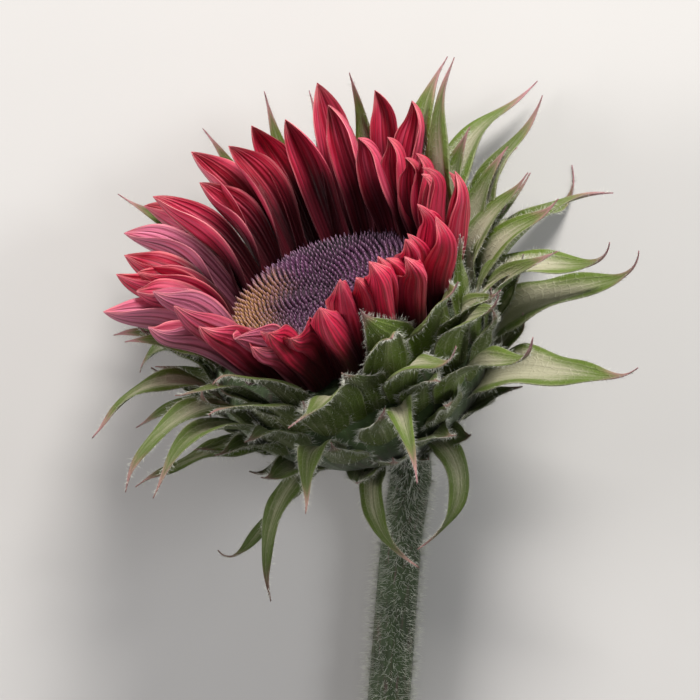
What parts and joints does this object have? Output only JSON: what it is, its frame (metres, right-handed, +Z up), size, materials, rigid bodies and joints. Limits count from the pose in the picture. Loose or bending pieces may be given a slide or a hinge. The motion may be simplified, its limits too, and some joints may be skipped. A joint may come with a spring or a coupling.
{
  "type": "red sunflower flower head on cut stem",
  "caption": "Half-open red sunflower head on a short cut stem, lying on its side: cupped petals round a dark floret disc, backed by long curling green bracts.",
  "frame": {"origin": "middle of the object's footprint, on the table it lies on", "axes": "+Z up from the table; the cut stem runs towards -Y and the flower's face looks up and towards +Y, turned a little to -X"},
  "size_m": [0.1373, 0.1885, 0.0994],
  "materials": {
    "petal": "matte",
    "bract": "matte",
    "stem": "matte",
    "florets": "matte"
  },
  "bodies": {
    "root": {"stem": "stem", "receptacle": "bract", "floret_disc": "florets", "petal_01": "petal", "petal_02": "petal", "petal_03": "petal", "petal_04": "petal", "petal_05": "petal", "petal_06": "petal", "petal_07": "petal", "petal_08": "petal", "petal_09": "petal", "petal_10": "petal", "petal_11": "petal", "petal_12": "petal", "petal_13": "petal", "petal_14": "petal", "petal_15": "petal", "petal_16": "petal", "petal_17": "petal", "petal_18": "petal", "petal_19": "petal", "petal_20": "petal", "petal_21": "petal", "petal_22": "petal", "petal_23": "petal", "petal_24": "petal", "petal_25": "petal", "petal_26": "petal", "petal_27": "petal", "petal_28": "petal", "petal_29": "petal", "petal_30": "petal", "petal_31": "petal", "petal_32": "petal", "petal_33": "petal", "petal_34": "petal", "bract_01": "bract", "bract_02": "bract", "bract_03": "bract", "bract_04": "bract", "bract_05": "bract", "bract_06": "bract", "bract_07": "bract", "bract_08": "bract", "bract_09": "bract", "bract_10": "bract", "bract_11": "bract", "bract_12": "bract", "bract_13": "bract", "bract_14": "bract", "bract_15": "bract", "bract_16": "bract", "bract_17": "bract", "bract_18": "bract", "bract_19": "bract", "bract_20": "bract", "bract_21": "bract", "bract_22": "bract", "bract_23": "bract"}
  },
  "joints": []
}
